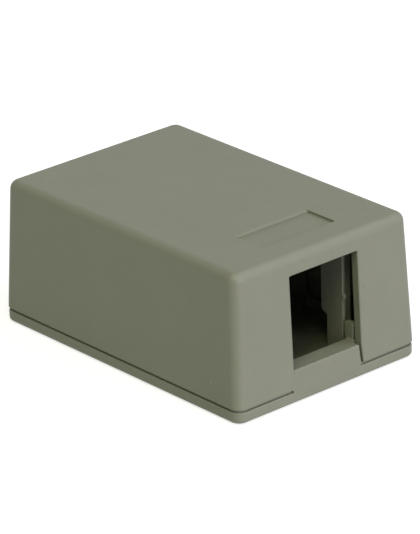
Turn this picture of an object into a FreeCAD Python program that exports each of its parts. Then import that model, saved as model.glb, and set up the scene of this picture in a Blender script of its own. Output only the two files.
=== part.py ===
"""Surface mount jack box: a base screwed or taped to a wall, and a cover that snaps over it.

Millimetres. X runs across the front, the jack window looks along -Y, and +Z points away from the wall.
Heights are counted from the underside of the base. At the end everything is lifted by the amount that the
mounting pads stand proud, so that the origin is the middle of the plane on which the pads stand.
"""
import FreeCAD
import Part
import math
import os

V = FreeCAD.Vector

# ---- whole box ----
width = 40.0              # across the front, at the parting line
length = 60.0             # front to rear, at the parting line
height = 25.85            # underside of the base to the top of the cover
side_draft = 2.3          # degrees, long sides of the cover
end_draft = 2.5           # degrees, front and rear of the cover
corner_radius = 2.0       # upright corners of the cover
top_radius = 1.65         # edge round the top of the cover
inner_radius = 0.6        # inside corners of the cover

# ---- parting line between base and cover ----
parting_height = 2.3      # middle of the shadow gap
shadow_gap = 0.45         # height of the gap
shadow_depth = 0.45       # how far the gap goes in from the base's edge
base_inset = 0.1          # the cover overhangs the base by this much all round
base_edge_radius = 0.8    # bottom edge of the base
lip_bevel = 0.15          # on the two edges that face each other across the gap

# ---- cover ----
cover_wall = 1.5
window_width = 15.0
window_top = 22.35
window_corner_radius = 0.3
window_flare = 0.35       # the window's sides spread this much from the tab's top down to the seat
window_edge_bevel = 0.15  # outer edge of the window, at its top and right side
label_width = 15.7        # shallow recess for a paper label on the top
label_length = 6.65
label_from_front = 6.5    # front edge of the recess, from the front at the parting line
label_depth = 0.4
label_corner_radius = 0.25

# ---- base floor and tongue ----
floor_thickness = 2.0
tongue_height = 1.5       # above the seat
tongue_thickness = 1.2
tongue_clearance = 0.15   # between the tongue and the inside of the cover
tongue_lead_in = 0.3      # bevel round the tongue's outer top edge
tongue_slot_gap = 0.8     # between a tongue's end and whatever interrupts it

# ---- front tab with the sill, part of the base ----
tab_top = 5.9
tab_gap_left = 0.05       # between the tab and the window's left side
tab_gap_right = 0.4       # between the tab and the window's right side
tab_wall = 1.6
tab_edge_radius = 0.3     # along the tab's top and its right side
sill_depth = 3.8          # front of the tab to the rear edge of the sill, at the sill's height
sill_thickness = 1.5
sill_edge_radius = 0.6
core_hole_margin = 1.4    # from the bay's sides to the hole under the sill
core_hole_gap = 0.2       # the hole reaches this much behind the sill
cheek_front = 2.25        # posts at the sill's two ends, from the front at the parting line
cheek_thickness = 1.0
cheek_top = 8.85
cheek_edge_radius = 0.4
cheek_root_radius = 0.5   # between a cheek and the sill

# ---- jack bay, part of the base; places are from the front at the parting line ----
bay_width = 14.8
bay_wall = 1.0
bay_top = 23.95
bay_front = 4.6           # upper front edge of the side walls
bay_rear = 9.7            # upper rear edge of the side walls
bay_lip = 0.7             # thickness of the walls at their front edge
bay_lip_depth = 0.8       # how far back the thinner part goes
bay_foot_rear = 8.35      # rear edge of the walls below the step
bay_step_low = 8.8        # underside of the rear step at its inner end
bay_step_high = 9.3       # underside of the rear step at its outer end
bay_edge_radius = 0.45
bridge_thickness = 1.5    # bar across the top of the bay, which the jack's latch holds
bridge_depth = 3.5
flange_width = 1.55       # strip outside each side wall, behind the thinner part
flange_thickness = 1.2
gusset_reach = 3.2
gusset_height = 10.0
gusset_thickness = 1.2
nub_height = 12.9         # small rest on the front edge of each side wall
nub_length = 0.6
nub_proud = 0.3

# ---- snap catches ----
arm_spacing = 28.0        # front pair to rear pair
arm_width = 6.0
arm_thickness = 1.2
arm_top = 7.6
barb_height = 1.6
barb_land = 0.5           # upright part of the barb
arm_clearance = 0.25      # between the arm and the crest of the cover's ridge
catch_overlap = 0.25      # how far the barb reaches over the ridge
catch_gap = 0.2           # height between the seated ridge and the barb
ridge_proud = 0.5
ridge_height = 1.2
ridge_length = 5.0
arm_root_radius = 0.8

# ---- knock-outs scored on the inside of the cover ----
knockout_width = 10.0
knockout_top = 10.5
knockout_radius = 3.0
score_width = 0.8
score_depth = 0.9

# ---- locating ribs on the inside of the cover ----
rib_width = 1.0
rib_proud = 0.6
rib_gap = 0.4             # between the tongue's top and the foot of a rib
side_rib_spacing = 40.0
rear_rib_spacing = 22.0

# ---- screw holes, cable entry and tie saddles in the floor ----
screw_radius = 2.1
screw_boss_radius = 3.8
screw_boss_height = 1.0
front_screw_from_front = 20.0
rear_screw_from_rear = 10.0
entry_length = 14.0
entry_width = 8.0
entry_from_rear = 22.0
entry_lip_width = 1.0
entry_lip_height = 1.0
saddle_spacing = 15.0
saddle_from_rear = 13.0
saddle_width = 3.0
saddle_length = 6.0
saddle_height = 3.0
saddle_slot = 3.0
saddle_slot_height = 1.4

# ---- mounting pads: foam tape with its paper liner ----
tape_width = 8.0
tape_length = 48.0
tape_from_side = 2.3
tape_thickness = 0.75
tape_recess = 0.7
tape_margin = 0.3
tape_corner_radius = 1.0
liner_thickness = 0.15
liner_tail = 2.0          # the liner runs on past the tape, to be peeled by

over = 1.0                # cutting tools run past the faces they open by this much
bite = 0.3                # joined features sink this far into the wall that carries them

# ---- heights and places worked out from the sizes above ----
rim_top = parting_height - shadow_gap / 2
seat = parting_height + shadow_gap / 2
tongue_top = seat + tongue_height
front = -length / 2
rear = length / 2
ridge_top = arm_top - barb_height - catch_gap
tape_proud = tape_thickness + liner_thickness - tape_recess


def half_width(z, inset=0.0):
    """Half the cover's outside width at a height, less an inset."""
    return width / 2 - (z - parting_height) * math.tan(math.radians(side_draft)) - inset


def half_length(z, inset=0.0):
    """Half the cover's outside length at a height, less an inset."""
    return length / 2 - (z - parting_height) * math.tan(math.radians(end_draft)) - inset


# ---- small helpers ----
def box(x, y, z):
    """A block between two values on each axis."""
    return Part.makeBox(x[1] - x[0], y[1] - y[0], z[1] - z[0], V(x[0], y[0], z[0]))


def polygon(points):
    """A flat face with the given corners."""
    return Part.Face(Part.makePolygon(points + [points[0]]))


def prism_x(points, x):
    """An outline of (y, z) points carried along X."""
    return polygon([V(x[0], y, z) for y, z in points]).extrude(V(x[1] - x[0], 0, 0))


def prism_y(points, y):
    """An outline of (x, z) points carried along Y."""
    return polygon([V(px, y[0], pz) for px, pz in points]).extrude(V(0, y[1] - y[0], 0))


def round_edges(shape, radius, wanted):
    """Fillet the edges for which wanted(edge) holds."""
    return shape.makeFillet(radius, [edge for edge in shape.Edges if wanted(edge)])


def bevel_edges(shape, size, wanted):
    """Bevel the edges for which wanted(edge) holds."""
    return shape.makeChamfer(size, [edge for edge in shape.Edges if wanted(edge)])


def upright(edge):
    """Does an edge run mostly along Z?"""
    return edge.BoundBox.ZLength > 0.9 * edge.Length


def at_height(z):
    """A test for edges that lie in the plane at a height."""
    return lambda edge: abs(edge.BoundBox.ZMin - z) < 1e-4 and abs(edge.BoundBox.ZMax - z) < 1e-4


def along_y_at(z):
    """A test for edges that run along Y at a height."""
    return lambda edge: at_height(z)(edge) and edge.BoundBox.XLength < 1e-4


def along_x_at(y, z):
    """A test for edges that run along X through a point of the side view."""
    return lambda edge: (edge.BoundBox.XLength > 0.9 * edge.Length and abs(edge.BoundBox.YMin - y) < 1e-4
                         and abs(edge.BoundBox.ZMin - z) < 1e-4)


def mirrored(shape):
    """The same shape on the other side of the middle plane."""
    return shape.mirror(V(0, 0, 0), V(1, 0, 0))


def on_both_sides(shapes):
    """Each shape with its mirror image."""
    return shapes + [mirrored(shape) for shape in shapes]


def drafted_block(z_low, z_high, inset):
    """A block between two heights, inside the cover's drafted sides by an inset."""
    across = [(half_width(z, inset), z) for z in (z_low, z_high)]
    along = [(half_length(z, inset), z) for z in (z_low, z_high)]
    across += [(-x, z) for x, z in reversed(across)]
    along += [(-y, z) for y, z in reversed(along)]
    return prism_y(across, (front - over, rear + over)).common(prism_x(along, (-width, width)))


def slot_face(length_x, width_y, centre, z):
    """A flat oblong with round ends, its long way along X."""
    radius = width_y / 2
    run = length_x / 2 - radius
    cx, cy = centre
    left, right = cx - run, cx + run
    edges = [
        Part.LineSegment(V(left, cy - radius, z), V(right, cy - radius, z)).toShape(),
        Part.Arc(V(right, cy - radius, z), V(right + radius, cy, z), V(right, cy + radius, z)).toShape(),
        Part.LineSegment(V(right, cy + radius, z), V(left, cy + radius, z)).toShape(),
        Part.Arc(V(left, cy + radius, z), V(left - radius, cy, z), V(left, cy - radius, z)).toShape(),
    ]
    return Part.Face(Part.Wire(edges))


# ---- cover ----
def cover_shell():
    """The drafted five-sided shell with rounded edges inside and out."""
    outside = drafted_block(seat, height, 0)
    outside = round_edges(outside, corner_radius, upright)
    outside = round_edges(outside, top_radius, at_height(height))
    outside = bevel_edges(outside, lip_bevel, at_height(seat))
    inside = drafted_block(seat - over, height - cover_wall, cover_wall)
    inside = round_edges(inside, inner_radius, upright)
    inside = round_edges(inside, inner_radius / 2, at_height(height - cover_wall))
    return outside.cut(inside)


def window_cut():
    """The jack window, open to the lower edge, where the base's tab fills it."""
    half = window_width / 2
    foot = half + window_flare
    outline = [(-foot, seat - over), (-foot, seat), (-half, tab_top), (-half, window_top),
               (half, window_top), (half, tab_top), (foot, seat), (foot, seat - over)]
    cut = prism_y(outline, (front - over, front + cover_wall + 2 * over))
    return round_edges(cut, window_corner_radius, along_y_at(window_top))


def on_front(edge):
    """Does an edge bound the window's top or right side in the cover's front face?"""
    middle = edge.valueAt((edge.FirstParameter + edge.LastParameter) / 2)
    near = -bite < middle.x < width / 4 and middle.z < height - top_radius
    return near and abs(middle.y + half_length(middle.z)) < 1e-3 and middle.z > seat + lip_bevel


def label_recess():
    """The shallow recess for a label on the top face, near the front."""
    start = front + label_from_front
    cut = box((-label_width / 2, label_width / 2), (start, start + label_length),
              (height - label_depth, height + over))
    return round_edges(cut, label_corner_radius, upright)


def catch_ridge(side, y_middle):
    """A ridge inside a long wall: square above, where the barb holds it, and sloped below."""
    crest = half_width(ridge_top, cover_wall + ridge_proud)
    root = half_width(ridge_top, cover_wall) + bite
    low = ridge_top - ridge_height
    outline = [(root, low), (half_width(low, cover_wall), low), (crest, low + ridge_proud),
               (crest, ridge_top), (root, ridge_top)]
    ridge = prism_y(outline, (y_middle - ridge_length / 2, y_middle + ridge_length / 2))
    return ridge if side > 0 else mirrored(ridge)


def knockout_band(middle, turn):
    """The arched band that a knock-out's score line follows, through the wall at a point."""
    depth = cover_wall + over
    rings = []
    for grow in (score_width / 2, -score_width / 2):
        half, top = knockout_width / 2 + grow, knockout_top + grow
        block = box((-half, half), (-depth, depth), (seat - over, top))
        rings.append(round_edges(block, knockout_radius + grow, along_y_at(top)))
    band = rings[0].cut(rings[1])
    band.rotate(V(0, 0, 0), V(0, 0, 1), turn)
    band.translate(middle)
    return band


def knockout_scores():
    """Score lines on the inside of the rear wall and of both long walls."""
    limit = drafted_block(seat - over, height - cover_wall, cover_wall - score_depth)
    rear_band = knockout_band(V(0, half_length(seat, cover_wall / 2), 0), 0)
    side_band = knockout_band(V(half_width(seat, cover_wall / 2), 0, 0), 90)
    return [band.common(limit) for band in [rear_band] + on_both_sides([side_band])]


def locating_ribs():
    """Upright ribs that centre the cover over the tongue and stiffen its walls."""
    foot = tongue_top + rib_gap
    reach = cover_wall + rib_proud
    ribs = []
    full = drafted_block(foot, height - cover_wall + bite, cover_wall - bite)
    hollow = drafted_block(foot - over, height - cover_wall + 2 * bite, reach)
    skin = full.cut(hollow)
    for y in (-side_rib_spacing / 2 + 2 * rib_width, side_rib_spacing / 2):
        slab = box((0, width), (y - rib_width / 2, y + rib_width / 2), (foot, height))
        ribs += on_both_sides([skin.common(slab)])
    slab = box((rear_rib_spacing / 2 - rib_width / 2, rear_rib_spacing / 2 + rib_width / 2),
               (0, length), (foot, height))
    ribs += on_both_sides([skin.common(slab)])
    return ribs


def make_cover():
    """The cover: one moulding."""
    cover = bevel_edges(cover_shell().cut(window_cut()), window_edge_bevel, on_front)
    cover = cover.cut([label_recess()] + knockout_scores())
    ridges = [catch_ridge(side, y) for side in (1, -1) for y in (-arm_spacing / 2, arm_spacing / 2)]
    return cover.fuse(ridges + locating_ribs()).removeSplitter()


# ---- base ----
def base_plate():
    """The floor with its rounded outer edge, the seat under the cover and the tongue inside it."""
    hw, hl = width / 2 - base_inset, length / 2 - base_inset
    plate = box((-hw, hw), (-hl, hl), (0, rim_top))
    plate = round_edges(plate, corner_radius - base_inset, upright)
    plate = round_edges(plate, base_edge_radius, at_height(0))
    plate = bevel_edges(plate, lip_bevel, at_height(rim_top))
    rim = drafted_block(floor_thickness, seat, base_inset + shadow_depth)
    rim = round_edges(rim, corner_radius - base_inset - shadow_depth, upright)
    tongue = drafted_block(floor_thickness, tongue_top, cover_wall + tongue_clearance)
    tongue = round_edges(tongue, inner_radius + tongue_clearance, upright)
    tongue = bevel_edges(tongue, tongue_lead_in, at_height(tongue_top))
    hollow = drafted_block(floor_thickness, tongue_top + over, cover_wall + tongue_clearance + tongue_thickness)
    hollow = round_edges(hollow, inner_radius, upright)
    return plate.fuse([rim, tongue]).cut(hollow)


def tongue_gaps():
    """Cuts that stop the tongue at the snap arms, the knock-outs and the corners' inside."""
    z = (seat, tongue_top + over)
    reach = cover_wall + tongue_clearance + tongue_thickness + over
    arm_half = arm_width / 2 + tongue_slot_gap
    knockout_half = knockout_width / 2 + tongue_slot_gap
    side = (width / 2 - reach - over, width / 2)
    cuts = [box(side, (y - arm_half, y + arm_half), z) for y in (-arm_spacing / 2, arm_spacing / 2)]
    cuts.append(box(side, (-knockout_half, knockout_half), z))
    cuts = on_both_sides(cuts)
    cuts.append(box((-knockout_half, knockout_half), (rear - reach - over, rear), z))
    opening = bay_width / 2 + bay_wall
    cuts.append(box((-opening, opening), (front, front + reach), z))
    return cuts


def snap_arm(y_middle):
    """An upright arm by the long wall, with a barb that reaches over the cover's ridge."""
    crest = half_width(ridge_top, cover_wall + ridge_proud)
    outer = crest - arm_clearance
    inner = outer - arm_thickness
    tip = crest + catch_overlap
    barb_low = arm_top - barb_height
    outline = [(inner, floor_thickness - bite), (inner, arm_top), (inner + arm_thickness / 2, arm_top),
               (tip, barb_low + barb_land), (tip, barb_low), (outer, barb_low),
               (outer, floor_thickness - bite)]
    y = (y_middle - arm_width / 2, y_middle + arm_width / 2)
    foot = [(inner - arm_root_radius, floor_thickness), (inner, floor_thickness - bite),
            (inner + bite, floor_thickness), (inner + bite, floor_thickness + arm_root_radius),
            (inner, floor_thickness + arm_root_radius)]
    return prism_y(outline, y).fuse(prism_y(foot, y))


def front_tab():
    """The tab that fills the foot of the window, with the sill that the jack stands on."""
    left = -window_width / 2 + tab_gap_left
    right = window_width / 2 - tab_gap_right
    flare = window_flare * (tab_top - parting_height) / (tab_top - seat)
    face_low = front + base_inset
    face_top = -half_length(tab_top, base_inset)
    back = front + cheek_front
    profile = [(face_low, 0), (face_low, parting_height), (face_top, tab_top), (back, tab_top), (back, 0)]
    spread = [(left - flare, 0), (left - flare, parting_height), (left, tab_top),
              (right, tab_top), (right + flare, parting_height), (right + flare, 0)]
    tab = prism_x(profile, (-width, width)).common(prism_y(spread, (front - over, back)))
    tab = round_edges(tab, tab_edge_radius,
                      lambda e: e.BoundBox.YMin < back - bite and e.BoundBox.XMax > 0
                      and (at_height(tab_top)(e) or upright(e)))
    radius = base_edge_radius
    lower = box((-width, width), (face_low - over, face_low + radius), (-over, radius))
    barrel = Part.makeCylinder(radius, 2 * width, V(-width, face_low + radius, radius), V(1, 0, 0))
    half = bay_width / 2 + cheek_thickness / 2
    rear_edge = face_top + sill_depth
    sill = box((-half, half), (back - bite, rear_edge), (tab_top - sill_thickness, tab_top))
    sill = round_edges(sill, sill_edge_radius, along_x_at(rear_edge, tab_top))
    return tab.cut(lower.cut(barrel)).fuse(sill)


def cheek():
    """The post at the sill's right end, with the radius that joins it to the sill."""
    inner = bay_width / 2
    y = (front + cheek_front, -half_length(tab_top, base_inset) + sill_depth)
    post = box((inner, inner + cheek_thickness), y, (floor_thickness - bite, cheek_top))
    post = round_edges(post, cheek_edge_radius, along_x_at(y[0], cheek_top))
    radius = cheek_root_radius
    root = box((inner - radius, inner + bite), (y[0], y[1] - sill_edge_radius), (tab_top - bite, tab_top + radius))
    barrel = Part.makeCylinder(radius, length, V(inner - radius, front, tab_top + radius), V(0, 1, 0))
    return post.fuse(root.cut(barrel))


def core_hole():
    """The hole in the floor under the sill, left by the tool that forms the jack's hook seat."""
    half = bay_width / 2 - core_hole_margin
    y_front = front + base_inset + tab_wall
    y_rear = -half_length(tab_top, base_inset) + sill_depth + core_hole_gap
    return box((-half, half), (y_front, y_rear), (-over, tab_top - sill_thickness))


def bay_side():
    """The right wall of the jack bay with its flange, gusset and nub."""
    inner = bay_width / 2
    outer = inner + bay_wall
    root = floor_thickness - bite
    y_front, y_rear, foot_rear = front + bay_front, front + bay_rear, front + bay_foot_rear
    outline = [(y_front, root), (y_front, bay_top), (y_rear, bay_top), (y_rear, bay_step_high),
               (foot_rear, bay_step_low), (foot_rear, root)]
    wall = prism_x(outline, (inner, outer))
    rounded = ((y_rear, bay_step_high), (y_rear, bay_top), (y_front, bay_top))
    wall = round_edges(wall, bay_edge_radius, lambda e: any(along_x_at(y, z)(e) for y, z in rounded))
    flange_front = y_front + bay_lip_depth
    wall = wall.cut(box((inner + bay_lip, outer + over), (y_front - over, flange_front), (floor_thickness, height)))
    flange = box((outer - bite, outer + flange_width), (flange_front, flange_front + flange_thickness),
                 (root, bay_top - bay_edge_radius))
    gusset_y = flange_front + flange_thickness - bite
    gusset = prism_y([(outer - bite, root), (outer + gusset_reach, root), (outer + gusset_reach, floor_thickness),
                      (outer - bite, floor_thickness + gusset_height)],
                     (gusset_y, gusset_y + gusset_thickness + bite))
    nub_low, nub_high = nub_height - nub_length / 2, nub_height + nub_length / 2
    nub = prism_x([(y_front + bite, nub_low - nub_proud), (y_front, nub_low - nub_proud),
                   (y_front - nub_proud, nub_low), (y_front - nub_proud, nub_high),
                   (y_front, nub_high + nub_proud), (y_front + bite, nub_high + nub_proud)],
                  (inner, inner + bay_lip))
    return wall.fuse([flange, gusset, nub])


def bay_bridge():
    """The bar across the top of the bay, behind which the jack's latch snaps."""
    half = bay_width / 2 + bay_wall / 2
    y = front + bay_front
    bar = box((-half, half), (y, y + bridge_depth), (bay_top - bridge_thickness, bay_top))
    return round_edges(bar, bay_edge_radius, along_x_at(y, bay_top))


def screw_places():
    """The middles of the two screw holes."""
    return [V(0, front + front_screw_from_front, 0), V(0, rear - rear_screw_from_rear, 0)]


def floor_bosses():
    """Raised rings round the screw holes and the cable entry."""
    bosses = [Part.makeCylinder(screw_boss_radius, floor_thickness - bite + screw_boss_height, p + V(0, 0, bite))
              for p in screw_places()]
    lip = slot_face(entry_length + 2 * entry_lip_width, entry_width + 2 * entry_lip_width,
                    (0, rear - entry_from_rear), bite)
    bosses.append(lip.extrude(V(0, 0, floor_thickness - bite + entry_lip_height)))
    return bosses


def floor_holes():
    """The screw holes and the oblong cable entry."""
    deep = floor_thickness + screw_boss_height + 2 * over
    holes = [Part.makeCylinder(screw_radius, deep, p - V(0, 0, over)) for p in screw_places()]
    entry = slot_face(entry_length, entry_width, (0, rear - entry_from_rear), -over)
    holes.append(entry.extrude(V(0, 0, floor_thickness + entry_lip_height + 2 * over)))
    return holes


def tie_saddle():
    """A small bridge that a cable tie passes under, with the tool's hole in the floor below it."""
    x, y = saddle_spacing / 2, rear - saddle_from_rear
    block = box((x - saddle_width / 2, x + saddle_width / 2), (y - saddle_length / 2, y + saddle_length / 2),
                (floor_thickness - bite, floor_thickness + saddle_height))
    top = floor_thickness + saddle_height
    return round_edges(block, saddle_height / 3,
                       lambda e: any(along_x_at(y + end * saddle_length / 2, top)(e) for end in (-1, 1)))


def saddle_slots():
    """The way for the tie under a saddle and the hole in the floor below."""
    x, y = saddle_spacing / 2, rear - saddle_from_rear
    reach = (y - saddle_slot / 2, y + saddle_slot / 2)
    tunnel = box((x - saddle_width / 2 - over, x + saddle_width / 2 + over), reach,
                 (floor_thickness, floor_thickness + saddle_slot_height))
    shaft = box((x - saddle_width / 2, x + saddle_width / 2), reach,
                (-over, floor_thickness + saddle_slot_height))
    return tunnel.fuse(shaft)


def tape_outline(grow, z, thick, tail=0.0):
    """A pad's footprint on the right, grown by a margin, as a plate with round corners."""
    outer = width / 2 - base_inset - tape_from_side + grow
    inner = outer - tape_width - 2 * grow
    half = tape_length / 2 + grow
    plate = box((inner, outer), (-half, half + tail), (z, z + thick))
    return round_edges(plate, tape_corner_radius + grow, upright)


def make_base():
    """The base: one moulding."""
    base = base_plate().cut(tongue_gaps())
    arms = on_both_sides([snap_arm(y) for y in (-arm_spacing / 2, arm_spacing / 2)])
    base = base.fuse(arms + on_both_sides([bay_side(), cheek(), tie_saddle()])
                     + [front_tab(), bay_bridge()] + floor_bosses())
    recess = tape_outline(tape_margin, -over, over + tape_recess)
    base = base.cut([core_hole()] + floor_holes() + on_both_sides([saddle_slots(), recess]))
    return base.removeSplitter()


# ---- mounting pads ----
def make_tape():
    """The right-hand strip of foam tape, face to face with the top of its recess."""
    return tape_outline(0, tape_recess - tape_thickness, tape_thickness)


def make_liner():
    """The right-hand paper liner under the tape, with a tail to peel it by."""
    return tape_outline(0, -tape_proud, liner_thickness, liner_tail)


def main():
    os.makedirs("parts", exist_ok=True)
    tape, liner = make_tape(), make_liner()
    nodes = {
        "cover": make_cover(),
        "base": make_base(),
        "mounting_tape_right": tape,
        "mounting_tape_left": mirrored(tape),
        "tape_liner_right": liner,
        "tape_liner_left": mirrored(liner),
    }
    for name, shape in nodes.items():
        shape.translate(V(0, 0, tape_proud))
        shape.exportStep(f"parts/{name}.step")
        b = shape.BoundBox
        print(f"{name}: {len(shape.Solids)} solid, {shape.Volume:.1f} mm3, valid {shape.isValid()}, "
              f"x {b.XMin:.2f}..{b.XMax:.2f} y {b.YMin:.2f}..{b.YMax:.2f} z {b.ZMin:.2f}..{b.ZMax:.2f}")


main()
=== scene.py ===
# %% [markdown]
# # A surface mount jack box
#
# The object is a small wall box for one snap-in communications jack. It has two ABS mouldings, a flat base
# and a drafted cover that snaps over it, and two foam pads under the base. The solids come ready made from
# the CAD model at their real size, so this scene gives them their finish, adds the small marks that the
# moulding tools leave, and sets up the light, the floor and the camera.

# %% Load the frame
import math
import random

import bmesh
import bpy
from mathutils import Matrix, Vector


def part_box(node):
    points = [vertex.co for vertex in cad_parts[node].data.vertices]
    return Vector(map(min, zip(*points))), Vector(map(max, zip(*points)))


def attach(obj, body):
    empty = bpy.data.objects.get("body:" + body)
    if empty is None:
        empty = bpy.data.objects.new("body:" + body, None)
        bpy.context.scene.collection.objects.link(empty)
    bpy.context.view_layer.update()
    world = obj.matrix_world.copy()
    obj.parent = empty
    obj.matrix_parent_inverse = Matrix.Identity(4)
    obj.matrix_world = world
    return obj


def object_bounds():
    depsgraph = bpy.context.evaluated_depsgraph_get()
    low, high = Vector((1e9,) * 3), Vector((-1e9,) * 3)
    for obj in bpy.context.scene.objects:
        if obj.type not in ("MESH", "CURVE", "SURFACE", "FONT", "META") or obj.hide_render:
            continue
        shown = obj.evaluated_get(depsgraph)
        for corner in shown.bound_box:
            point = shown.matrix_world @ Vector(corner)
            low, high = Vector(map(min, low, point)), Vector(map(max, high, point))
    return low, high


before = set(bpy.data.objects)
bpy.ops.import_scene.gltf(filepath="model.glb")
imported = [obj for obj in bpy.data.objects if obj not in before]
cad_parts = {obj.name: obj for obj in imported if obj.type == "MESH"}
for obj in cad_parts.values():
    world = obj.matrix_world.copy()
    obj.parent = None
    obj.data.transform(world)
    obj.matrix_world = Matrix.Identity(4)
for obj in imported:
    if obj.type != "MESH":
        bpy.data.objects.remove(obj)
cad_low, cad_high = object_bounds()
MM = 0.001
print("nodes:", ", ".join(sorted(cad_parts)))
print("size in mm:", [round(v / MM, 2) for v in cad_high - cad_low])

# %% [markdown]
# ## Colours and nodes
#
# Paint and plastic colours are usually written as sRGB hex values, but a shader works with linear light.
# One function turns the first into the second. A second small function adds a node, sets its properties,
# fills its sockets and makes its links, so that a material reads as a short list of steps.


# %% Colour and node helpers
def linear(hex_colour):
    """An sRGB colour such as 7E8071 as linear red, green, blue and alpha."""
    parts = [int(hex_colour[i:i + 2], 16) / 255 for i in (0, 2, 4)]
    parts = [c / 12.92 if c <= 0.04045 else ((c + 0.055) / 1.055) ** 2.4 for c in parts]
    return (*parts, 1.0)


def add_node(tree, kind, settings=None, sockets=None):
    """Add a node, set its properties, and fill or link its input sockets."""
    node = tree.nodes.new(kind)
    for name, value in (settings or {}).items():
        setattr(node, name, value)
    for name, value in (sockets or {}).items():
        socket = node.inputs[name]
        if isinstance(value, bpy.types.NodeSocket):
            tree.links.new(value, socket)
        else:
            socket.default_value = value
    return node


def new_material(name):
    """An empty node material, and the object's own coordinates in millimetres."""
    material = bpy.data.materials.new(name)
    material.use_nodes = True
    tree = material.node_tree
    tree.nodes.clear()
    place = add_node(tree, "ShaderNodeTexCoord").outputs["Object"]
    scale = (1 / MM, 1 / MM, 1 / MM)
    place_mm = add_node(tree, "ShaderNodeMapping", sockets={"Vector": place, "Scale": scale})
    return material, tree, place_mm.outputs["Vector"]


def finish_material(tree, shader):
    """Link a shader to the material's output."""
    add_node(tree, "ShaderNodeOutputMaterial", sockets={"Surface": shader.outputs[0]})


print("helpers ready")

# %% [markdown]
# ## A soft spot
#
# Handling leaves marks on a moulding: a nick, a scuff, a dent. The nick and the rounded rear rim of the label
# recess also get a lighter tint, which is a painted highlight. Such marks could be painted into an image, but
# that needs a map of the whole cover for a few square millimetres. Here each mark is a block of space, in
# millimetres, with a soft edge. Wherever the surface passes through the block, the material shifts its colour
# or its height.


# %% A soft spot
def spot(tree, place, centre, core, reach):
    """One in a block round a place, fading to zero over a reach, all in millimetres along each axis."""
    away = place
    for operation, value in (("SUBTRACT", centre), ("ABSOLUTE", None), ("SUBTRACT", core),
                             ("MAXIMUM", (0.0, 0.0, 0.0)), ("DIVIDE", reach)):
        sockets = {0: away} if value is None else {0: away, 1: value}
        away = add_node(tree, "ShaderNodeVectorMath", {"operation": operation}, sockets).outputs["Vector"]
    far = add_node(tree, "ShaderNodeVectorMath", {"operation": "LENGTH"}, {0: away})
    return add_node(tree, "ShaderNodeMapRange", {"interpolation_type": "SMOOTHSTEP"}, {
        "Value": far.outputs["Value"], "From Min": 1.0, "From Max": 0.0}).outputs["Result"]


print("a soft spot fades over its reach on each axis")

# %% [markdown]
# ## Moulded ABS
#
# Both shells are injection moulded in ABS, a tough matt plastic with an IOR of about 1.54. The tool was
# spark eroded, which leaves a fine even grain of rounded pits, about 0.1 mm across. That grain spreads the
# highlight into a soft sheen. It is far finer than the mesh, so a bump stands for it and not real relief, and
# it is drawn at 0.3 mm, which is as fine as the render shows. Melt that flowed in different ways leaves faint
# clouds and a low swell, which a broad noise in the colour and a finer one in the height stand for. A few
# specks of other pellets show in the surface: they are the cores of large Voronoi cells.

# %% Moulded ABS
GRAIN_MM = 0.3
CLOUD_MM = 14.0
SPECK_CELL_MM = 4.5
SPECK_RADIUS_MM = 0.2
SWELL_MM = 1.6
SWELL_HEIGHT = 4.0          # against a grain of one
RELIEF_MM = 0.03            # depth of the grain
RELIEF_STRENGTH = 0.35
ABS_ROUGHNESS = (0.46, 0.6)     # in the grain's pits and on its peaks
ABS_IOR = 1.54


def moulded_abs(name, body, cloud, speck, marks=()):
    """Spark-eroded ABS: a grained bump, faint flow clouds, sparse specks, and any marks, from use or as
    painted highlights.

    A mark is its centre, the half size of its block, its reach, its tint and its rise against the grain.
    """
    material, tree, place = new_material(name)
    clouds = add_node(tree, "ShaderNodeTexNoise", sockets={
        "Vector": place, "Scale": 1 / CLOUD_MM, "Detail": 5.0, "Roughness": 0.8})
    colour = add_node(tree, "ShaderNodeMix", {"data_type": "RGBA"}, {
        0: clouds.outputs["Fac"], 6: linear(body), 7: linear(cloud)})
    cells = add_node(tree, "ShaderNodeTexVoronoi", sockets={"Vector": place, "Scale": 1 / SPECK_CELL_MM})
    speck_edge = SPECK_RADIUS_MM / SPECK_CELL_MM
    dots = add_node(tree, "ShaderNodeMapRange", sockets={
        "Value": cells.outputs["Distance"], "From Min": speck_edge, "From Max": 0.5 * speck_edge})
    specked = add_node(tree, "ShaderNodeMix", {"data_type": "RGBA"}, {
        0: dots.outputs["Result"], 6: colour.outputs[2], 7: linear(speck)})
    grain = add_node(tree, "ShaderNodeTexNoise", sockets={
        "Vector": place, "Scale": 1 / GRAIN_MM, "Detail": 2.0, "Roughness": 0.6})
    swell = add_node(tree, "ShaderNodeTexNoise", sockets={
        "Vector": place, "Scale": 1 / SWELL_MM, "Detail": 1.0})
    sheen = add_node(tree, "ShaderNodeMapRange", sockets={
        "Value": grain.outputs["Fac"], "To Min": ABS_ROUGHNESS[0], "To Max": ABS_ROUGHNESS[1]})
    finish = specked.outputs[2]
    height = add_node(tree, "ShaderNodeMath", {"operation": "MULTIPLY_ADD"}, {
        0: swell.outputs["Fac"], 1: SWELL_HEIGHT, 2: grain.outputs["Fac"]}).outputs["Value"]
    # Each mark mixes its tint into the colour and adds its rise to the height. The lighter tints of the nick
    # and of the recess rim are painted highlights.
    for centre, core, reach, tint, rise in marks:
        here = spot(tree, place, centre, core, reach)
        finish = add_node(tree, "ShaderNodeMix", {"data_type": "RGBA"}, {
            0: here, 6: finish, 7: linear(tint)}).outputs[2]
        height = add_node(tree, "ShaderNodeMath", {"operation": "MULTIPLY_ADD"}, {
            0: here, 1: rise, 2: height}).outputs["Value"]
    bump = add_node(tree, "ShaderNodeBump", sockets={
        "Strength": RELIEF_STRENGTH, "Distance": RELIEF_MM * MM, "Height": height})
    shader = add_node(tree, "ShaderNodeBsdfPrincipled", sockets={
        "Base Color": finish, "Roughness": sheen.outputs["Result"], "IOR": ABS_IOR,
        "Normal": bump.outputs["Normal"]})
    finish_material(tree, shader)
    return material


print("grain", GRAIN_MM, "mm, swell", SWELL_MM, "mm, clouds", CLOUD_MM, "mm")
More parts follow.
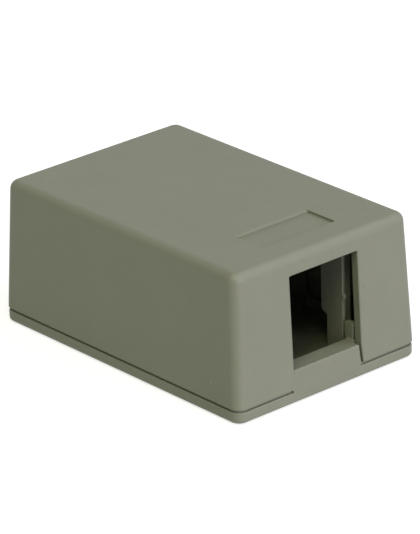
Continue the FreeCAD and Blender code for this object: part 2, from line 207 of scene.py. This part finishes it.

# %% [markdown]
# ## Two finishes from one plastic
#
# Little of the base shows under the cover, so it keeps the plain finish. The cover also gets marks: from
# handling, a raised nick, a dull scuff low on the left side and a dent in the top. On the nick, and along the
# rear rim of the label recess, which a bump rounds, it also gets a lighter tint that is a painted highlight.
# One function makes both, so they stay one plastic.

# %% The two finishes
POINT = (0.0, 0.0, 0.0)
# The nick is a raised bump, and its lighter tint is a painted highlight on it.
NICK_AND_HIGHLIGHT = ((-19.75, -23.4, 6.15), POINT, (1.0, 0.25, 0.6), "8F9181", 4.0)
SCUFF = ((-19.65, -12.4, 8.7), POINT, (1.0, 0.4, 0.35), "727465", 0.0)
DENT = ((-0.1, -9.8, 26.05), POINT, (0.7, 0.6, 1.0), "7E8071", -6.0)
# A bump rounds the recess rim, and its lighter tint is a painted highlight along it.
RECESS_RIM_HIGHLIGHT = ((0.0, -16.85, 26.05), (7.5, 0.0, 0.05), (0.4, 0.8, 0.3), "858778", -14.0)
ABS_COLOURS = ("828475", "767868", "6C6E60")
shell_abs = moulded_abs("moulded_abs_grey_green", *ABS_COLOURS)
handled_and_highlit_abs = moulded_abs("moulded_abs_handled_painted_highlight", *ABS_COLOURS, marks=(NICK_AND_HIGHLIGHT, SCUFF, DENT, RECESS_RIM_HIGHLIGHT))
print("materials:", shell_abs.name, handled_and_highlit_abs.name)

# %% [markdown]
# ## Foam tape and its paper liner
#
# The pads are strips of closed-cell polyethylene foam with glue on both faces. Their cut edges show the
# cells, which at a quarter of a millimetre are texture, so a Voronoi pattern gives their colour and their
# height. A liner of silicone-coated kraft paper covers the glue until the box is put up. Its fibres are a
# noise stretched along the strip, and a thin coat over them gives the silicone's slight gloss.

# %% Foam and liner paper
CELL_MM = 0.25
CELL_DEPTH_MM = 0.08
FIBRE_MM = 0.35
FIBRE_STRETCH = 0.2         # the fibres run along the strip, five times as long as wide
WAVE_MM = 9.0
WAVE_HEIGHT = 4.0           # against the fibres
PAPER_DEPTH_MM = 0.05


def closed_cell_foam(name):
    """Cut polyethylene foam: pale, dull, with open half cells."""
    material, tree, place = new_material(name)
    cells = add_node(tree, "ShaderNodeTexVoronoi", sockets={"Vector": place, "Scale": 1 / CELL_MM})
    colour = add_node(tree, "ShaderNodeMix", {"data_type": "RGBA"}, {
        0: cells.outputs["Distance"], 6: linear("D8D6CE"), 7: linear("ECEBE6")})
    bump = add_node(tree, "ShaderNodeBump", sockets={
        "Strength": 0.6, "Distance": CELL_DEPTH_MM * MM, "Height": cells.outputs["Distance"]})
    shader = add_node(tree, "ShaderNodeBsdfPrincipled", sockets={
        "Base Color": colour.outputs[2], "Roughness": 0.85, "IOR": 1.5, "Normal": bump.outputs["Normal"]})
    finish_material(tree, shader)
    return material


def coated_paper(name):
    """Silicone-coated kraft paper: fibres along the strip under a thin gloss."""
    material, tree, place = new_material(name)
    along = add_node(tree, "ShaderNodeMapping", sockets={
        "Vector": place, "Scale": (1.0, FIBRE_STRETCH, 1.0)})
    fibres = add_node(tree, "ShaderNodeTexNoise", sockets={
        "Vector": along.outputs["Vector"], "Scale": 1 / FIBRE_MM, "Detail": 5.0, "Roughness": 0.65})
    waves = add_node(tree, "ShaderNodeTexNoise", sockets={
        "Vector": place, "Scale": 1 / WAVE_MM, "Detail": 1.0})
    colour = add_node(tree, "ShaderNodeMix", {"data_type": "RGBA"}, {
        0: fibres.outputs["Fac"], 6: linear("D9CFB2"), 7: linear("EAE3CD")})
    heights = add_node(tree, "ShaderNodeMath", {"operation": "MULTIPLY_ADD"}, {
        0: waves.outputs["Fac"], 1: WAVE_HEIGHT, 2: fibres.outputs["Fac"]})
    bump = add_node(tree, "ShaderNodeBump", sockets={
        "Strength": 0.4, "Distance": PAPER_DEPTH_MM * MM, "Height": heights.outputs["Value"]})
    shader = add_node(tree, "ShaderNodeBsdfPrincipled", sockets={
        "Base Color": colour.outputs[2], "Roughness": 0.5, "IOR": 1.45, "Coat Weight": 0.35,
        "Coat Roughness": 0.25, "Normal": bump.outputs["Normal"]})
    finish_material(tree, shader)
    return material


tape_foam = closed_cell_foam("polyethylene_foam_cut")
liner_kraft = coated_paper("silicone_coated_kraft_paper")
print("materials:", tape_foam.name, liner_kraft.name)

# %% [markdown]
# ## Give the solids their finish
#
# A piece's finish lies in its material slots, so a new look needs no new mesh. The CAD pieces keep their
# shape and place, and only the materials in their slots change.

# %% Assign the finishes
FINISHES = {
    "cover": handled_and_highlit_abs,
    "base": shell_abs,
    "mounting_tape_left": tape_foam,
    "mounting_tape_right": tape_foam,
    "tape_liner_left": liner_kraft,
    "tape_liner_right": liner_kraft,
}
for node, material in FINISHES.items():
    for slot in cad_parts[node].material_slots:
        slot.material = material
print("finished:", len(FINISHES), "nodes")

# %% [markdown]
# ## Marks of the moulding tools
#
# Pins push each moulding off its core. Every pin leaves a flat disc, just proud of the surface, and a fine
# bead round it where melt crept up beside the pin. The pins stand in a regular grid, so a geometry node tree
# draws them from a few named inputs.

# %% Pin marks as a rule
PIN_INPUTS = {"Across": 20.0 * MM, "Along": 30.0 * MM, "Columns": 2, "Rows": 3, "Radius": 1.75 * MM,
              "Rise": 0.05 * MM, "Bead": 0.06 * MM, "Centre": (0.0, 0.0, 0.0), "Finish": None}
SOCKET_KINDS = {float: "NodeSocketFloat", int: "NodeSocketInt", tuple: "NodeSocketVector",
                type(None): "NodeSocketMaterial"}


def pin_mark_rule():
    """A geometry node tree that lays a grid of discs, each with a bead round it."""
    tree = bpy.data.node_groups.new("pin_marks", "GeometryNodeTree")
    for name, value in PIN_INPUTS.items():
        tree.interface.new_socket(name, in_out="INPUT", socket_type=SOCKET_KINDS[type(value)])
    tree.interface.new_socket("Marks", in_out="OUTPUT", socket_type="NodeSocketGeometry")
    given = add_node(tree, "NodeGroupInput").outputs
    disc = add_node(tree, "GeometryNodeMeshCylinder", sockets={
        "Vertices": 48, "Radius": given["Radius"], "Depth": add_node(tree, "ShaderNodeMath", {
            "operation": "MULTIPLY"}, {0: given["Rise"], 1: 2.0}).outputs[0]})
    ring = add_node(tree, "GeometryNodeCurvePrimitiveCircle", sockets={
        "Resolution": 48, "Radius": given["Radius"]})
    section = add_node(tree, "GeometryNodeCurvePrimitiveCircle", sockets={
        "Resolution": 8, "Radius": given["Bead"]})
    bead = add_node(tree, "GeometryNodeCurveToMesh", sockets={
        "Curve": ring.outputs["Curve"], "Profile Curve": section.outputs["Curve"]})
    mark = add_node(tree, "GeometryNodeJoinGeometry")
    for part in (disc, bead):
        tree.links.new(part.outputs["Mesh"], mark.inputs["Geometry"])
    grid = add_node(tree, "GeometryNodeMeshGrid", sockets={
        "Size X": given["Across"], "Size Y": given["Along"], "Vertices X": given["Columns"],
        "Vertices Y": given["Rows"]})
    placed = add_node(tree, "GeometryNodeTransform", sockets={
        "Geometry": grid.outputs["Mesh"], "Translation": given["Centre"]})
    marks = add_node(tree, "GeometryNodeInstanceOnPoints", sockets={
        "Points": placed.outputs["Geometry"], "Instance": mark.outputs["Geometry"]})
    solid = add_node(tree, "GeometryNodeRealizeInstances", sockets={"Geometry": marks.outputs["Instances"]})
    finished = add_node(tree, "GeometryNodeSetMaterial", sockets={
        "Geometry": solid.outputs["Geometry"], "Material": given["Finish"]})
    add_node(tree, "NodeGroupOutput", sockets={"Marks": finished.outputs["Geometry"]})
    return tree


pin_rule = pin_mark_rule()
print("rule inputs:", ", ".join(PIN_INPUTS))

# %% [markdown]
# Each shell gets its own grid on the face that the pins pushed: the base on top of its floor, the cover under
# its ceiling. The rule runs once for each shell, and its result is kept as a plain mesh, so that every grid
# can ride on its own body.


# %% Draw the pin marks
def draw_marks(name, body, **values):
    """Run the rule with some values, keep the mesh that it makes, and let it ride on a body."""
    holder = bpy.data.objects.new(name, bpy.data.meshes.new(name))
    bpy.context.scene.collection.objects.link(holder)
    rule = holder.modifiers.new("marks", "NODES")
    rule.node_group = pin_rule
    sockets = {item.name: item.identifier for item in pin_rule.interface.items_tree}
    for label, value in (PIN_INPUTS | {"Finish": shell_abs} | values).items():
        rule[sockets[label]] = value
    bpy.context.view_layer.update()
    seen = holder.evaluated_get(bpy.context.evaluated_depsgraph_get())
    mesh = bpy.data.meshes.new_from_object(seen)
    holder.modifiers.remove(rule)
    holder.data = mesh
    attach(holder, body)
    return holder


FLOOR_MM = 2.0
COVER_WALL_MM = 1.5
floor_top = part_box("base")[0].z + FLOOR_MM * MM
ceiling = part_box("cover")[1].z - COVER_WALL_MM * MM
floor_marks = draw_marks("base_pin_marks", "base", Across=25 * MM, Along=36 * MM, Rows=4,
                         Centre=(0, 6 * MM, floor_top))
ceiling_marks = draw_marks("cover_pin_marks", "cover", Across=18 * MM, Along=32 * MM,
                           Centre=(0, 4 * MM, ceiling))
for marks in (floor_marks, ceiling_marks):
    print(marks.name, len(marks.data.polygons), "faces")

# %% [markdown]
# The melt entered the base through one gate near the middle of its underside. The runner was twisted off, and
# it left a low nub with a small torn crater. There is only one, so it needs no rule: a short cone is drawn
# with bmesh, its end is inset, and the corners there are pushed in by chance, from a fixed seed.

# %% Gate nub
GATE_RADIUS_MM = 0.8
GATE_HEIGHT_MM = 0.14
GATE_TAPER = 0.7            # the end's radius against the foot's
CRATER_RIM_MM = 0.2
CRATER_DEPTH_MM = (0.04, 0.1)
CRATER_SEED = 4


def gate_nub(name, centre):
    """A low round nub that faces down, with its end pushed in unevenly."""
    shape = bmesh.new()
    turned = Matrix.Translation(centre) @ Matrix.Rotation(math.pi, 4, "X")
    bmesh.ops.create_cone(shape, cap_ends=True, segments=32, radius1=GATE_RADIUS_MM * MM,
                          radius2=GATE_TAPER * GATE_RADIUS_MM * MM, depth=2 * GATE_HEIGHT_MM * MM,
                          matrix=turned)
    end = min(shape.faces, key=lambda face: face.calc_center_median().z)
    bmesh.ops.inset_individual(shape, faces=[end], thickness=CRATER_RIM_MM * MM)
    chance = random.Random(CRATER_SEED)
    for vert in end.verts:
        vert.co.z += chance.uniform(*CRATER_DEPTH_MM) * MM
    mesh = bpy.data.meshes.new(name)
    shape.to_mesh(mesh)
    shape.free()
    mesh.materials.append(shell_abs)
    nub = bpy.data.objects.new(name, mesh)
    bpy.context.scene.collection.objects.link(nub)
    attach(nub, "base")
    return nub


GATE_Y_MM = -2.0
nub = gate_nub("base_gate_nub", (0, GATE_Y_MM * MM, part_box("base")[0].z))
print(nub.name, len(nub.data.polygons), "faces")

# %% [markdown]
# ## Floor
#
# The box stands on a plain pale floor. It could be made white with more light, but that would bleach the
# plastic too. Instead the floor adds a little light of its own, for the camera and for reflections only, so
# it looks white where it is lit and still keeps the soft shadow.

# %% Floor
FLOOR_SIZE = 4.0
FLOOR_GLOW = 0.75
FLOOR_COLOUR = (0.6, 0.6, 0.6, 1.0)
WHITE = (1.0, 1.0, 1.0, 1.0)
FLOOR_GAP_MM = 0.02     # keeps the floor from lying in the same plane as the liners


def seen_directly(tree):
    """One for rays from the camera, in a reflection or through glass, and zero for scattered light."""
    path = add_node(tree, "ShaderNodeLightPath")
    mirrored = add_node(tree, "ShaderNodeMath", {"operation": "MAXIMUM"}, {
        0: path.outputs["Is Camera Ray"], 1: path.outputs["Is Glossy Ray"]})
    return add_node(tree, "ShaderNodeMath", {"operation": "MAXIMUM"}, {
        0: mirrored.outputs["Value"], 1: path.outputs["Is Transmission Ray"]}).outputs["Value"]


def pale_floor(name):
    """A matt floor that looks white where it is lit, and keeps the object's soft shadow."""
    material, tree, _ = new_material(name)
    glow = add_node(tree, "ShaderNodeMath", {"operation": "MULTIPLY"}, {
        0: seen_directly(tree), 1: FLOOR_GLOW})
    shader = add_node(tree, "ShaderNodeBsdfPrincipled", sockets={
        "Base Color": FLOOR_COLOUR, "Roughness": 0.9, "Specular IOR Level": 0.0,
        "Emission Color": WHITE, "Emission Strength": glow.outputs["Value"]})
    finish_material(tree, shader)
    return material


floor_z = cad_low.z - FLOOR_GAP_MM * MM
bpy.ops.mesh.primitive_plane_add(size=FLOOR_SIZE, location=(0, 0, floor_z))
floor = bpy.context.object
floor.name = "floor"
floor.data.materials.append(pale_floor("pale_studio_floor"))
print("floor at z =", round(floor_z / MM, 3), "mm")

# %% [markdown]
# ## World
#
# The world does the same: it is white to the camera and in reflections, and to everything else it is a faint
# even fill, so that no side falls into black.

# %% World
FILL = 0.12
FILL_COLOUR = (0.97, 1.0, 0.93, 1.0)


def studio_world():
    """White to the camera and in reflections, and an even fill for everything else."""
    world = bpy.data.worlds.new("studio")
    world.use_nodes = True
    tree = world.node_tree
    tree.nodes.clear()
    fill = add_node(tree, "ShaderNodeBackground", sockets={"Color": FILL_COLOUR, "Strength": FILL})
    white = add_node(tree, "ShaderNodeBackground", sockets={"Color": WHITE, "Strength": 1.0})
    mix = add_node(tree, "ShaderNodeMixShader", sockets={
        0: seen_directly(tree), 1: fill.outputs[0], 2: white.outputs[0]})
    add_node(tree, "ShaderNodeOutputWorld", sockets={"Surface": mix.outputs[0]})
    return world


bpy.context.scene.world = studio_world()
print("fill strength:", FILL)

# %% [markdown]
# ## Soft boxes
#
# Three large soft boxes light the object at a plain level, at which the plastic shows about the colour
# written above. A panel low in front of the window gives the front its brightness, a warmer one high on the
# left grades the long side, and a cooler one high on the right helps it to light the top. Large lamps give
# soft shadows, as a studio tent does.

# %% Soft boxes
SOFT_BOXES = {
    "front_panel": {"azimuth": 0, "elevation": 12, "size": (0.45, 0.4), "power": 5.3,
                    "colour": (0.93, 0.9, 1.0)},
    "high_left": {"azimuth": -50, "elevation": 55, "size": (0.5, 0.5), "power": 4.15,
                  "colour": (0.99, 1.0, 0.66)},
    "high_right": {"azimuth": 45, "elevation": 55, "size": (0.5, 0.5), "power": 3.3,
                   "colour": (0.78, 0.8, 1.0)},
}
LIGHT_DISTANCE = 1.0


def soft_box(name, azimuth, elevation, size, power, colour):
    """An area light that faces the object. Azimuth 0 is in front of the window, 90 is on the right."""
    lamp = bpy.data.lights.new(name, "AREA")
    lamp.shape = "RECTANGLE"
    lamp.size, lamp.size_y = size
    lamp.energy = power
    lamp.color = colour
    holder = bpy.data.objects.new(name, lamp)
    a, e = math.radians(azimuth), math.radians(elevation)
    aim = Vector((math.sin(a) * math.cos(e), -math.cos(a) * math.cos(e), math.sin(e)))
    holder.location = aim * LIGHT_DISTANCE
    holder.rotation_euler = aim.to_track_quat("Z", "Y").to_euler()
    bpy.context.scene.collection.objects.link(holder)
    return holder


for name, values in SOFT_BOXES.items():
    lamp = soft_box(name, **values)
    print(name, "at", [round(v, 2) for v in lamp.location])

# %% [markdown]
# ## Camera
#
# The camera stands about 0.7 m away, in front and to the left, 23 degrees above the floor, with a long lens
# that keeps the box's edges nearly parallel. It leans by a degree and a half. Its place is worked out from
# these angles, the distance, and how far the middle of the view lies from the box's origin.

# %% Camera
AZIMUTH = -40.781
ELEVATION = 23.473
ROLL = -1.653
DISTANCE_MM = 701.685
SIDEWAYS_MM = 0.290
UPWARDS_MM = 11.752
PADS_MM = 0.2       # the pads lift the base off the floor by this much
LENS_MM = 280.45


def make_camera():
    """A camera that looks at the box from its left front corner."""
    data = bpy.data.cameras.new("camera")
    data.lens = LENS_MM
    data.sensor_width = 36.0
    data.clip_start, data.clip_end = 0.05, 20.0
    camera = bpy.data.objects.new("camera", data)
    bpy.context.scene.collection.objects.link(camera)
    a, e, r = (math.radians(v) for v in (AZIMUTH, ELEVATION, ROLL))
    back = Vector((math.sin(a) * math.cos(e), -math.cos(a) * math.cos(e), math.sin(e)))
    level = Vector((0, 0, 1)).cross(back).normalized()
    above = back.cross(level)
    right = level * math.cos(r) + above * math.sin(r)
    up = above * math.cos(r) - level * math.sin(r)
    place = (back * DISTANCE_MM + right * SIDEWAYS_MM + up * UPWARDS_MM + Vector((0, 0, PADS_MM))) * MM
    turn = Matrix((right, up, back)).transposed().to_4x4()
    camera.matrix_world = Matrix.Translation(place) @ turn
    bpy.context.scene.camera = camera
    return camera


camera = make_camera()
bpy.context.scene.view_settings.view_transform = "Standard"
print("camera at", [round(v, 4) for v in camera.location])
